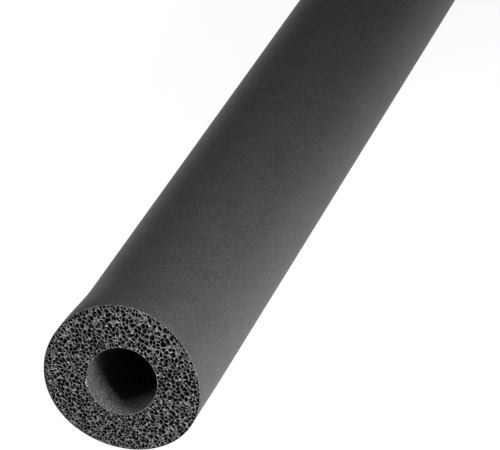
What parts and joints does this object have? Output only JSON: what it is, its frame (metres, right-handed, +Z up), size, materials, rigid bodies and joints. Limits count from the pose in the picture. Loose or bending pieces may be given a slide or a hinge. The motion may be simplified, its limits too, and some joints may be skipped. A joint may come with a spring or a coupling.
{
  "type": "pipe insulation lagging tube",
  "caption": "Straight length of closed-cell rubber foam tube that slips over a pipe as thermal lagging, with a smooth skin, a round bore and square-cut porous ends.",
  "frame": {"origin": "on the floor under the middle of the tube's length, with the tube lying on its side", "axes": "+Y along the bore, from the slightly splayed mouth at -Y to the plain end at +Y; +Z up; +X to the right seen from the mouth"},
  "size_m": [0.0351, 1, 0.0348],
  "materials": {
    "foam_rubber": "matt dark grey closed-cell rubber foam: smooth fine-grained skin outside, open cut cells on both end faces"
  },
  "bodies": {
    "root": {"foam_tube": "foam_rubber"}
  },
  "joints": []
}
